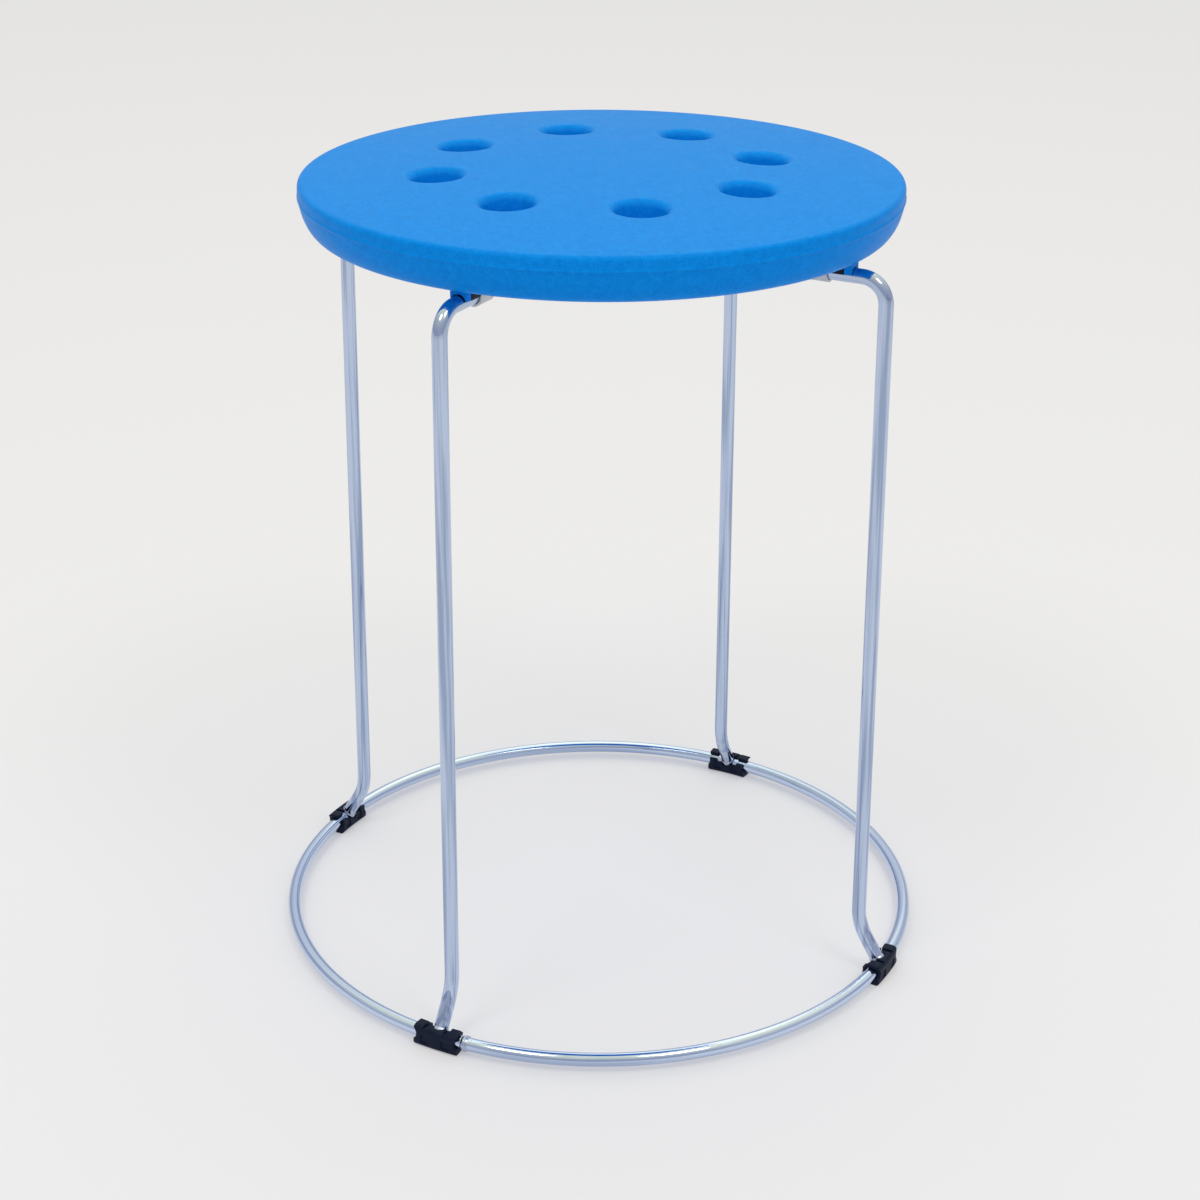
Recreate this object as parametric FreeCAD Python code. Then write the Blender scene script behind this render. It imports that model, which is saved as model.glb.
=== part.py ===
import FreeCAD, Part
import math
import os

# Low stacking stool: a round hollow seat on two bent rods that stand on a floor ring
# Millimetres and degrees. The origin is on the floor under the middle of the seat, +Z up, front at -Y

# Whole stool
stool_height = 450.0
leg_corners = ("front_right", "back_right", "back_left", "front_left")
first_leg_angle = -45.0

# Seat body, a closed shell whose top is a shallow dome
seat_diameter = 324.0
seat_underside_diameter = 308.0
seat_crown = 6.7
seat_rim_depth = 25.0
seat_side_bulge = 1.3
seat_rim_rounding = 3.2
seat_underside_rounding = 4.0
seat_wall = 3.0
parting_drop = 7.3
parting_bead_proud = 0.3
parting_bead_width = 1.2

# Dimples in the seat, each one a hollow column that reaches the bottom wall
dimple_count = 8
dimple_circle_diameter = 178.0
dimple_first_angle = -93.9
dimple_mouth = 28.6
dimple_floor = 20.0
dimple_lip_rounding = 3.0
dimple_floor_rounding = 2.5
dimple_floor_wall = 5.0

# Moulded feet under the seat, which lie over the rods
foot_past_strap = 8.8
foot_short_of_hood = 1.6
foot_width = 31.0
foot_corner_rounding = 4.0
foot_edge_rounding = 1.0
foot_block_rise = 12.4
foot_nose_length = 4.0
foot_nose_width = 10.0
foot_nose_drop = 2.8
foot_nose_gap = 0.2

# Rods that make the legs
leg_rod = 8.0
rod_to_seat_gap = 3.3
under_hoop_drop = 2.4
leg_outside_seat = 3.7
leg_splay = 3.3
top_bend_radius = 13.5
kink_height = 30.0
kink_bend_radius = 33.0
leg_end_standoff = 2.6
joggle_flat = 44.0
joggle_run = 38.0
joggle_bend_radius = 40.0
crossing_gap = 0.3
crossing_weld_diameter = 10.4
crossing_weld_height = 4.6

# Floor ring
ring_rod = 7.5
ring_outside_leg = 14.5
seam_to_clip_gap = 0.5
seam_weld_length = 6.4
seam_weld_swell = 0.9
leg_weld_diameter = 9.6
leg_weld_standoff = 2.8

# Foot clips
clip_length = 26.0
clip_base = 2.55
clip_wall = 1.6
clip_fit = 0.2
clip_height = 12.4
clip_lug_length = 5.4
clip_roof_reach = 2.0
clip_lug_rounding = 3.0
clip_bottom_rounding = 2.2
clip_dip_reach = 0.5
clip_dip_height = 11.2
clip_peak_height = 12.2
clip_inner_wall = 1.9
clip_inner_height = 7.5
clip_inner_lug_height = 9.2
clip_peak_length = 10.0
clip_leg_clearance = 0.35
clip_pad_height = 0.5
clip_pad_length = 5.2
clip_panel_depth = 0.5
clip_panel_length = 4.2
clip_panel_low = 2.6
clip_panel_high = 7.4
clip_notch_depth = 1.5
clip_notch_radius = 4.2

# Saddle pads between the rods and the moulded feet
pad_fit = 0.15
pad_crown = 1.5
pad_hood_length = 8.8
pad_hood_to_bend = 8.5
pad_hood_wall = 0.9
pad_hood_drop = 4.6
pad_tongue_width = 6.8
pad_rounding = 0.8

# Straps that hold the seat's feet to the rods
strap_sheet = 1.2
strap_width = 13.0
strap_fit = 0.15
strap_ear_reach = 14.6
strap_ear_rounding = 3.0
strap_bend_radius = 0.5
strap_to_hood_gap = 0.4
strap_hole_clearance = 0.3

# Pan-head screws
screw_spacing = 21.0
screw_shank = 4.0
screw_length = 13.0
screw_head = 7.8
screw_head_height = 2.5
screw_head_rounding = 1.3
screw_tip_length = 2.4
screw_recess_span = 4.2
screw_recess_slot = 0.9
screw_recess_depth = 1.4
screw_hole_clearance = 0.05
screw_hole_end_room = 0.8

# Heights and radii that follow from the sizes above
seat_radius = seat_diameter / 2 - parting_bead_proud
seat_underside_radius = seat_underside_diameter / 2
rim_z = stool_height - seat_crown
parting_z = rim_z - parting_drop
underside_z = rim_z - seat_rim_depth
rod_z = underside_z - rod_to_seat_gap - leg_rod / 2
foot_bottom_z = rod_z + leg_rod / 2 + pad_crown
corner_drops = (under_hoop_drop, 0.0, under_hoop_drop, 0.0)
leg_top_radius = seat_radius + leg_outside_seat
leg_foot_radius = leg_top_radius + leg_splay
ring_radius = leg_foot_radius + ring_outside_leg
ring_z = clip_base + clip_fit + ring_rod / 2
pad_hood_outer_radius = leg_top_radius - top_bend_radius - pad_hood_to_bend
strap_outer_radius = pad_hood_outer_radius - pad_hood_length - strap_to_hood_gap
strap_inner_radius = strap_outer_radius - strap_width
strap_middle_radius = (strap_outer_radius + strap_inner_radius) / 2
foot_inner_radius = strap_inner_radius - foot_past_strap
foot_outer_radius = pad_hood_outer_radius - foot_short_of_hood
ear_bottom_z = foot_bottom_z - strap_sheet
clip_half_width = ring_rod / 2 + clip_fit + clip_wall
big = 2 * stool_height

Vec = FreeCAD.Vector
UP = Vec(0, 0, 1)
CENTRE = Vec(0, 0, 0)


def line(start, end):
    return Part.LineSegment(start, end).toShape()


def arc(start, middle, end):
    return Part.Arc(start, middle, end).toShape()


def bend(start, corner, end):
    """Parabola from one point to another, whose tangents meet in the corner"""
    curve = Part.BezierCurve()
    curve.setPoles([start, corner, end])
    return curve.toShape()


def box(x_range, y_range, z_range):
    size = [high - low for low, high in (x_range, y_range, z_range)]
    return Part.makeBox(size[0], size[1], size[2], Vec(x_range[0], y_range[0], z_range[0]))


def turned(shape, angle):
    copy = shape.copy()
    copy.rotate(CENTRE, UP, angle)
    return copy


def lowered(shape, drop):
    copy = shape.copy()
    copy.translate(-UP * drop)
    return copy


def spun(edges, start_angle=0.0, sweep=360.0):
    """Turn a closed outline in the XZ plane about the Z axis"""
    face = Part.Face(Part.Wire(edges))
    return turned(face.revolve(CENTRE, UP, sweep), start_angle)


def sector(r_range, z_range, angle_range):
    """Ring segment of rectangular section about the Z axis"""
    corners = [
        Vec(r_range[0], 0, z_range[0]),
        Vec(r_range[1], 0, z_range[0]),
        Vec(r_range[1], 0, z_range[1]),
        Vec(r_range[0], 0, z_range[1]),
    ]
    edges = [line(corners[i - 1], corners[i]) for i in range(4)]
    return spun(edges, angle_range[0], angle_range[1] - angle_range[0])


def edges_where(shape, test):
    return [edge for edge in shape.Edges if test(edge.BoundBox)]


def rounded_path(points, radii):
    """Straight runs through the points, joined by tangent arcs, or by sharp corners where a radius is 0"""
    edges = []
    start = points[0]
    for before, corner, after, radius in zip(points, points[1:], points[2:], radii):
        way_in = (corner - before).normalize()
        way_out = (after - corner).normalize()
        half_turn = way_in.getAngle(way_out) / 2
        if radius == 0:
            edges.append(line(start, corner))
            start = corner
            continue
        reach = radius * math.tan(half_turn)
        inward = (way_out - way_in).normalize()
        arc_start = corner - way_in * reach
        arc_end = corner + way_out * reach
        arc_middle = corner + inward * (radius / math.cos(half_turn) - radius)
        edges.append(line(start, arc_start))
        edges.append(arc(arc_start, arc_middle, arc_end))
        start = arc_end
    edges.append(line(start, points[-1]))
    return edges


def swept_rod(path, diameter):
    first = path[0]
    start = first.valueAt(first.FirstParameter)
    heading = first.tangentAt(first.FirstParameter)
    section = Part.Wire([Part.Circle(start, heading, diameter / 2).toShape()])
    solid = Part.Wire(path).makePipeShell([section], True, False)
    expected = math.pi * diameter**2 / 4 * sum(edge.Length for edge in path)
    print("rod volume against section times length: %.5f" % (solid.Volume / expected))
    return solid


def seat_form(inset):
    """Outer form of the seat, or the same form drawn in on all sides by an inset"""
    radius = seat_radius - inset
    top = stool_height - inset
    low = Vec(seat_underside_radius - inset, 0, underside_z + inset)
    rim_rounding = max(seat_rim_rounding - inset, seat_wall / 4)
    low_rounding = max(seat_underside_rounding - inset, seat_wall / 4)
    dome_end_radius = radius - rim_rounding
    dome_end = Vec(dome_end_radius, 0, top - seat_crown * (dome_end_radius / radius) ** 2)
    fall = 2 * seat_crown * dome_end_radius / radius**2
    rim_corner = Vec(radius, 0, dome_end.z - fall * rim_rounding)
    widest = Vec(radius, 0, parting_z)
    outward = Vec(widest.z - low.z, 0, low.x - widest.x).normalize()
    bulge = (widest + low) * 0.5 + outward * 2 * seat_side_bulge
    side_end = low + (bulge - low).normalize() * low_rounding
    return spun([
        bend(Vec(0, 0, top), Vec(dome_end.x / 2, 0, top), dome_end),
        bend(dome_end, rim_corner, rim_corner - UP * rim_rounding),
        line(rim_corner - UP * rim_rounding, widest),
        bend(widest, bulge, side_end),
        bend(side_end, low, low - Vec(low_rounding, 0, 0)),
        line(low - Vec(low_rounding, 0, 0), Vec(0, 0, low.z)),
        line(Vec(0, 0, low.z), Vec(0, 0, top)),
    ])


def parting_bead():
    root = seat_radius - parting_bead_width
    low = Vec(root, 0, parting_z - parting_bead_width / 2)
    high = Vec(root, 0, parting_z + parting_bead_width / 2)
    skin_low = Vec(seat_radius, 0, low.z)
    skin_high = Vec(seat_radius, 0, high.z)
    crest = Vec(seat_diameter / 2, 0, parting_z)
    return spun([
        line(low, skin_low),
        arc(skin_low, crest, skin_high),
        line(skin_high, high),
        line(high, low),
    ])


def dimple_angles():
    return [dimple_first_angle + 360.0 * i / dimple_count for i in range(dimple_count)]


def dimple_cone(extra):
    """Tapered dimple at +X, widened by an extra wall, reaching above the seat and down to its floor"""
    floor_z = underside_z + dimple_floor_wall
    mouth_z = stool_height - seat_crown / 2
    slope = (dimple_mouth - dimple_floor) / 2 / (mouth_z - floor_z)
    low_z = floor_z if extra == 0 else underside_z
    high_z = stool_height + seat_crown
    low_radius = dimple_floor / 2 + extra + slope * (low_z - floor_z)
    high_radius = low_radius + slope * (high_z - low_z)
    place = Vec(dimple_circle_diameter / 2, 0, low_z)
    return Part.makeCone(low_radius, high_radius, high_z - low_z, place)


def dimple_edges(body, test):
    """Edges of the dimples' tapered walls"""
    walls = [face for face in body.Faces if isinstance(face.Surface, Part.Cone)]
    return [edge for face in walls for edge in edges_where(face, test)]


def moulded_foot(drop):
    """Block under the seat at +X that runs up into the shell, lowered by a drop, with a nose on the rod"""
    top_z = underside_z + foot_block_rise
    low_z = foot_bottom_z - drop
    half_width = foot_width / 2
    block = box((foot_inner_radius, foot_outer_radius), (-half_width, half_width), (low_z, top_z))
    uprights = edges_where(block, lambda b: b.ZLength > top_z - low_z - 0.1)
    block = block.makeFillet(foot_corner_rounding, uprights)
    low_edges = edges_where(block, lambda b: b.ZMax < low_z + 0.1)
    block = block.makeFillet(foot_edge_rounding, low_edges)
    nose_start = pad_hood_outer_radius + foot_nose_gap
    nose_end = nose_start + foot_nose_length
    half_nose = foot_nose_width / 2
    nose_low = rod_z - drop + leg_rod / 2 - foot_nose_drop
    upper = box((foot_outer_radius - foot_edge_rounding, nose_end), (-half_nose, half_nose), (low_z, top_z))
    lower = box((nose_start, nose_end), (-half_nose, half_nose), (nose_low, low_z + foot_edge_rounding))
    nose = upper.fuse(lower).removeSplitter()
    return block.fuse(nose).cut(lowered(bare_rod(pad_fit), drop))


def screw_places():
    return [Vec(strap_middle_radius, side * screw_spacing / 2, ear_bottom_z) for side in (-1, 1)]


def seat_shell():
    body = seat_form(0).fuse(parting_bead())
    cavity = seat_form(seat_wall)
    for angle in dimple_angles():
        body = body.cut(turned(dimple_cone(0), angle))
        cavity = cavity.cut(turned(dimple_cone(seat_wall), angle))
    lips = dimple_edges(body, lambda b: b.ZMin > parting_z)
    body = body.makeFillet(dimple_lip_rounding, lips)
    floor_rings = dimple_edges(body, lambda b: b.ZMax < underside_z + dimple_floor_wall + 0.1)
    body = body.makeFillet(dimple_floor_rounding, floor_rings)
    for i, drop in enumerate(corner_drops):
        foot = turned(moulded_foot(drop), leg_angle(i))
        body = body.fuse(foot)
        cavity = cavity.cut(foot)
    shell = body.cut(cavity)
    hole_radius = screw_shank / 2 + screw_hole_clearance
    for i, drop in enumerate(corner_drops):
        for place in screw_places():
            hole = Part.makeCylinder(hole_radius, screw_length + screw_hole_end_room, place - UP * drop)
            shell = shell.cut(turned(hole, leg_angle(i)))
    return shell.removeSplitter()


def leg_angle(index):
    return first_leg_angle + 360.0 * index / len(leg_corners)


def leg_end_direction():
    """Heading of a leg's last run at +X, from the kink to the middle of the ring's rod"""
    return (Vec(ring_radius, 0, ring_z) - Vec(leg_foot_radius, 0, kink_height)).normalize()


def hoop(angle, drop):
    """Rod bent into an upside-down U, and where it has a drop it also bends down under the other rod"""
    end = Vec(ring_radius, 0, ring_z) - leg_end_direction() * leg_end_standoff
    half = [
        end,
        Vec(leg_foot_radius, 0, kink_height),
        Vec(leg_top_radius, 0, rod_z - drop),
    ]
    radii = [kink_bend_radius, top_bend_radius]
    if drop > 0:
        half.append(Vec(joggle_flat / 2 + joggle_run, 0, rod_z - drop))
        half.append(Vec(joggle_flat / 2, 0, rod_z - leg_rod - crossing_gap))
        radii += [joggle_bend_radius, joggle_bend_radius]
    mirrored = [Vec(-p.x, 0, p.z) for p in reversed(half)]
    rod = swept_rod(rounded_path(half + mirrored, radii + radii[::-1]), leg_rod)
    return turned(rod, angle).cut(base_ring())


def base_ring():
    return Part.makeTorus(ring_radius, ring_rod / 2, Vec(0, 0, ring_z))


def ring_seam_weld():
    """Bead round the ring's rod where its two ends are butt welded"""
    half = seam_weld_length / 2
    root = ring_rod / 2 - seam_weld_swell
    crest = ring_rod / 2 + seam_weld_swell
    outline = Part.Wire([
        line(Vec(-half, 0, 0), Vec(-half, 0, root)),
        arc(Vec(-half, 0, root), Vec(0, 0, crest), Vec(half, 0, root)),
        line(Vec(half, 0, root), Vec(half, 0, 0)),
        line(Vec(half, 0, 0), Vec(-half, 0, 0)),
    ])
    bead = Part.Face(outline).revolve(CENTRE, Vec(1, 0, 0), 360)
    bead.rotate(CENTRE, UP, 90)
    bead.translate(Vec(ring_radius, 0, ring_z))
    past_clip = clip_angle(clip_length / 2 + seam_to_clip_gap + half)
    last_leg = len(leg_corners) - 1
    return turned(bead, leg_angle(last_leg) + past_clip).cut(base_ring())


def weld_ball(clearance):
    """Round bead about the end of the leg at +X, widened by a clearance, before the rods are cut out"""
    middle = Vec(ring_radius, 0, ring_z) - leg_end_direction() * leg_weld_standoff
    return Part.makeSphere(leg_weld_diameter / 2 + clearance, middle)


def leg_cylinder(clearance):
    """Straight end of the leg at +X, widened by a clearance"""
    start = Vec(ring_radius, 0, ring_z) - leg_end_direction() * leg_end_standoff
    length = kink_height - ring_z
    return Part.makeCylinder(leg_rod / 2 + clearance, length, start, -leg_end_direction())


def leg_weld():
    return weld_ball(0).cut(leg_cylinder(0)).cut(base_ring())


def crossing_weld(upper, lower):
    middle_z = rod_z - leg_rod / 2 - crossing_gap / 2
    blob = Part.makeCylinder(
        crossing_weld_diameter / 2,
        crossing_weld_height,
        Vec(0, 0, middle_z - crossing_weld_height / 2),
    )
    return blob.cut(upper).cut(lower)


def clip_angle(length):
    return math.degrees(length / ring_radius)


def clip_band(r_range, z_range, length_range):
    """Ring segment for cutting a clip, with its ends given as lengths along the ring"""
    return sector(r_range, z_range, (clip_angle(length_range[0]), clip_angle(length_range[1])))


def clip_blank():
    """Solid bar with rounded corners that follows the ring at +X, before it is hollowed"""
    inner = ring_radius - clip_half_width
    outer = ring_radius + clip_half_width
    half = clip_length / 2
    bar = clip_band((inner, outer), (0, clip_height), (-half, half))
    low = edges_where(bar, lambda b: b.ZMax < 0.1 and b.YLength > half)
    high = edges_where(bar, lambda b: b.ZMin > clip_height - 0.1 and b.YLength > half)
    return bar.makeFillet(clip_bottom_rounding, low).makeFillet(clip_lug_rounding, high)


def clip_end_notch(side):
    """Round bite in the end of a clip, with its axis across the ring"""
    middle_y = side * (clip_length / 2 + clip_notch_radius - clip_notch_depth)
    middle_z = (clip_base + clip_height) / 2
    start = Vec(ring_radius - 2 * clip_half_width, middle_y, middle_z)
    return Part.makeCylinder(clip_notch_radius, 4 * clip_half_width, start, Vec(1, 0, 0))


def foot_clip():
    """Clip about the ring at +X, whose outer wall lies over the rod that goes in from the inner side"""
    inside = ring_radius - 2 * clip_half_width
    wide = (inside, ring_radius + 2 * clip_half_width)
    half = clip_length / 2
    lug_start = half - clip_lug_length
    half_peak = clip_peak_length / 2
    bore = ring_rod / 2 + clip_fit
    roof_edge = ring_radius - clip_roof_reach
    opening = (ring_radius - clip_half_width + clip_inner_wall, roof_edge)
    clip = clip_blank()
    clip = clip.cut(Part.makeTorus(ring_radius, bore, Vec(0, 0, ring_z)))
    clip = clip.cut(clip_band(opening, (ring_z, big), (-half - 1, half + 1)))
    clip = clip.cut(clip_band((inside, roof_edge), (clip_inner_lug_height, big), (-half - 1, half + 1)))
    dip_edge = ring_radius - clip_dip_reach
    clip = clip.cut(clip_band((inside, dip_edge), (clip_inner_height, big), (-lug_start, lug_start)))
    clip = clip.cut(clip_band(wide, (clip_peak_height, big), (-lug_start, lug_start)))
    pad_start = half - clip_pad_length
    clip = clip.cut(clip_band(wide, (-1, clip_pad_height), (-pad_start, pad_start)))
    for side in (-1, 1):
        dip = sorted((side * half_peak, side * lug_start))
        clip = clip.cut(clip_band(wide, (clip_dip_height, big), dip))
        clip = clip.cut(clip_end_notch(side))
        panel_middle = side * (half_peak + lug_start) / 2
        panel = (panel_middle - clip_panel_length / 2, panel_middle + clip_panel_length / 2)
        for wall in (-1, 1):
            face_radius = ring_radius + wall * clip_half_width
            depth = (face_radius - clip_panel_depth, face_radius + clip_panel_depth)
            clip = clip.cut(clip_band(depth, (clip_panel_low, clip_panel_high), panel))
    clip = clip.cut(leg_cylinder(clip_leg_clearance))
    return clip.cut(weld_ball(clip_leg_clearance))


def bare_rod(clearance):
    """Straight rod under the seat at +X, widened by a clearance, for cutting what lies on it"""
    return Part.makeCylinder(leg_rod / 2 + clearance, leg_top_radius, Vec(0, 0, rod_z), Vec(1, 0, 0))


def rod_pad():
    """Hood that straddles the rod, with a tongue that runs inward between the rod and the foot"""
    hood_start = pad_hood_outer_radius - pad_hood_length
    half_hood = leg_rod / 2 + pad_fit + pad_hood_wall
    hood_low = foot_bottom_z - pad_hood_drop
    hood = box((hood_start, pad_hood_outer_radius), (-half_hood, half_hood), (hood_low, foot_bottom_z))
    top_z = foot_bottom_z - 0.1
    outer_edges = edges_where(hood, lambda b: b.ZLength < 0.1 and b.ZMin > top_z and b.XLength > 1)
    outer_edges += edges_where(hood, lambda b: b.ZLength > 1 and b.XMin > pad_hood_outer_radius - 0.1)
    hood = hood.makeFillet(pad_rounding, outer_edges)
    tongue = box(
        (strap_inner_radius, hood_start + pad_rounding),
        (-pad_tongue_width / 2, pad_tongue_width / 2),
        (rod_z, foot_bottom_z),
    )
    return hood.fuse(tongue).cut(bare_rod(pad_fit)).removeSplitter()


def strap():
    """Steel strap that passes under the rod and ends in two ears with a screw hole each"""
    bore = leg_rod / 2 + strap_fit
    skin = bore + strap_sheet
    outer_bend = strap_bend_radius + strap_sheet
    outline = [
        Vec(0, skin, rod_z),
        Vec(0, skin, ear_bottom_z),
        Vec(0, strap_ear_reach, ear_bottom_z),
        Vec(0, strap_ear_reach, foot_bottom_z),
        Vec(0, bore, foot_bottom_z),
        Vec(0, bore, rod_z),
    ]
    radii = [strap_bend_radius, 0, 0, outer_bend]
    right = rounded_path(outline, radii)
    left = [turned(edge, 180) for edge in right]
    under_skin = arc(Vec(0, -skin, rod_z), Vec(0, 0, rod_z - skin), Vec(0, skin, rod_z))
    under_bore = arc(Vec(0, -bore, rod_z), Vec(0, 0, rod_z - bore), Vec(0, bore, rod_z))
    section = Part.Face(Part.Wire(Part.sortEdges(right + left + [under_skin, under_bore])[0]))
    body = section.extrude(Vec(strap_width, 0, 0))
    body.translate(Vec(strap_inner_radius, 0, 0))
    ear_ends = lambda b: b.XLength < 0.1 and abs(b.YMin + b.YMax) / 2 > strap_ear_reach - 0.1
    body_corners = edges_where(body, ear_ends)
    body = body.makeFillet(strap_ear_rounding, body_corners)
    hole_radius = screw_shank / 2 + strap_hole_clearance
    for place in screw_places():
        body = body.cut(Part.makeCylinder(hole_radius, 3 * strap_sheet, place - UP * strap_sheet))
    return body


def pan_screw(place):
    """Pan-head screw that points up, with its head under the strap's ear"""
    head = Part.makeCylinder(screw_head / 2, screw_head_height, place - UP * screw_head_height)
    rim = edges_where(head, lambda b: b.ZMax < place.z - screw_head_height + 0.1)
    head = head.makeFillet(screw_head_rounding, rim)
    shank = Part.makeCylinder(screw_shank / 2, screw_length - screw_tip_length, place)
    tip_start = place + UP * (screw_length - screw_tip_length)
    tip = Part.makeCone(screw_shank / 2, screw_shank / 8, screw_tip_length, tip_start)
    screw = head.fuse([shank, tip])
    low_z = place.z - screw_head_height
    for quarter in (0, 90):
        slot = box(
            (-screw_recess_span / 2, screw_recess_span / 2),
            (-screw_recess_slot / 2, screw_recess_slot / 2),
            (low_z - 1, low_z + screw_recess_depth),
        )
        slot.rotate(CENTRE, UP, quarter)
        slot.translate(Vec(place.x, place.y, 0))
        screw = screw.cut(slot)
    return screw


def strap_screws():
    screws = []
    for i, drop in enumerate(corner_drops):
        screws += [turned(pan_screw(place - UP * drop), leg_angle(i)) for place in screw_places()]
    return Part.makeCompound(screws)


def write(name, shape):
    solids = len(shape.Solids)
    if not shape.isValid() or solids == 0:
        raise ValueError("bad shape for " + name)
    bounds = shape.BoundBox
    print("%-24s %d solid, %.0f mm3, top %.2f" % (name, solids, shape.Volume, bounds.ZMax))
    shape.exportStep("parts/" + name + ".step")


def main():
    os.makedirs("parts", exist_ok=True)
    hoop_over = hoop(leg_angle(1), 0)
    hoop_under = hoop(leg_angle(0), under_hoop_drop)
    write("seat_shell", seat_shell())
    write("hoop_over", hoop_over)
    write("hoop_under", hoop_under)
    write("base_ring", base_ring())
    write("ring_seam_weld", ring_seam_weld())
    write("crossing_weld", crossing_weld(hoop_over, hoop_under))
    on_the_floor = {"leg_weld": leg_weld(), "foot_clip": foot_clip()}
    under_the_seat = {"rod_pad": rod_pad(), "strap": strap()}
    for i, corner in enumerate(leg_corners):
        for kind, shape in on_the_floor.items():
            write(kind + "_" + corner, turned(shape, leg_angle(i)))
        for kind, shape in under_the_seat.items():
            write(kind + "_" + corner, turned(lowered(shape, corner_drops[i]), leg_angle(i)))
    write("strap_screws", strap_screws())


main()
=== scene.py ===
"""Low stacking stool with a blue moulded seat on a chromed rod frame, dressed round its solids.

Lengths are metres in the frame's own axes: +Z up, the front at -Y, the legs on the diagonals.
"""

import logging
import math
from dataclasses import dataclass, field
from enum import Enum
from typing import Any, Callable, Optional, Sequence, Union

import bmesh
import bpy
from mathutils import Matrix, Vector, noise


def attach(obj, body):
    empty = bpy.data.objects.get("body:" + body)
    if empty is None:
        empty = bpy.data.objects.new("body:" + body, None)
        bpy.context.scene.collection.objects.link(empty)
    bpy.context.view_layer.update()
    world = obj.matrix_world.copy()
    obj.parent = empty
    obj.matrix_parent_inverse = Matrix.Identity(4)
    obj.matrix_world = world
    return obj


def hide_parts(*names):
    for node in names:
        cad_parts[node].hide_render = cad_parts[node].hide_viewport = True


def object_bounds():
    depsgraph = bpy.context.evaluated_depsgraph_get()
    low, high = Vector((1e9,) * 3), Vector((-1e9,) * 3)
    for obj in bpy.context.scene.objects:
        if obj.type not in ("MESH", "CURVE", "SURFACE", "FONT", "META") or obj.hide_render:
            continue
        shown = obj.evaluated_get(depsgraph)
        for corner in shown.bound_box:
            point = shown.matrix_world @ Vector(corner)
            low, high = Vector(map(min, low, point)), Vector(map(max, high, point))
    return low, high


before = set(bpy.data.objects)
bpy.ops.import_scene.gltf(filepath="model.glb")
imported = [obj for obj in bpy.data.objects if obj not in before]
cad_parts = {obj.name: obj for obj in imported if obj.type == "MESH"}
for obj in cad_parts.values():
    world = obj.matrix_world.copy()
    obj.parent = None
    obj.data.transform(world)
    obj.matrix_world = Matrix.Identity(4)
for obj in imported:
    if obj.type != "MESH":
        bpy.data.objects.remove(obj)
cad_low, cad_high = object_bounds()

logging.basicConfig(level=logging.INFO, format="%(message)s")
log = logging.getLogger("stool")

MM = 0.001
BODY = "root"
CORNERS = ("front_right", "back_right", "back_left", "front_left")
FIRST_CORNER_ANGLE = math.radians(-45)
ROD_Z = 411.0 * MM
CORNER_DROPS = (2.4 * MM, 0.0, 2.4 * MM, 0.0)
SAME_POINT = 0.0005 * MM
EDGE_ANGLE = math.radians(40)
EDGE_STEPS = 3


class Slot(Enum):
    """Material slot names."""

    SEAT = "seat_plastic"
    ROD = "chromed_rod"
    WELD = "plated_weld"
    BLACK = "clip_plastic"
    ZINC = "zinc_plated_steel"


def corner_angle(index: int) -> float:
    """Heading of a leg from +X, in radians."""
    return FIRST_CORNER_ANGLE + index * math.tau / len(CORNERS)


def polar(radius: float, angle: float, height: float) -> Vector:
    """Point at a radius and heading from +X."""
    return Vector((radius * math.cos(angle), radius * math.sin(angle), height))


def stepped(start: float, end: float, steps: int) -> list[float]:
    """Evenly spaced values from start to end, both ends included."""
    return [start + (end - start) * i / steps for i in range(steps + 1)]


def parabola(start: Vector, corner: Vector, end: Vector, steps: int) -> list[Vector]:
    """Points on the curve that is tangent to both lines through the corner.

    Args:
        start: First point.
        corner: Where the two end tangents meet.
        end: Last point.
        steps: Number of stretches.

    Returns:
        The points, both ends included.
    """
    return [
        start * (1 - t) ** 2 + corner * (2 * t * (1 - t)) + end * t**2 for t in stepped(0, 1, steps)
    ]


def in_scene(name: str, data: bpy.types.ID) -> bpy.types.Object:
    """Put a mesh, light or camera in the scene as an object at the origin.

    Args:
        name: Name of the object.
        data: What it shows.

    Returns:
        The object.
    """
    made = bpy.data.objects.new(name, data)
    bpy.context.scene.collection.objects.link(made)
    return made


Value = Union["Signal", float, int]
Source = Union["Signal", float, int, tuple, str, bpy.types.NodeSocket, bpy.types.Material]


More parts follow.
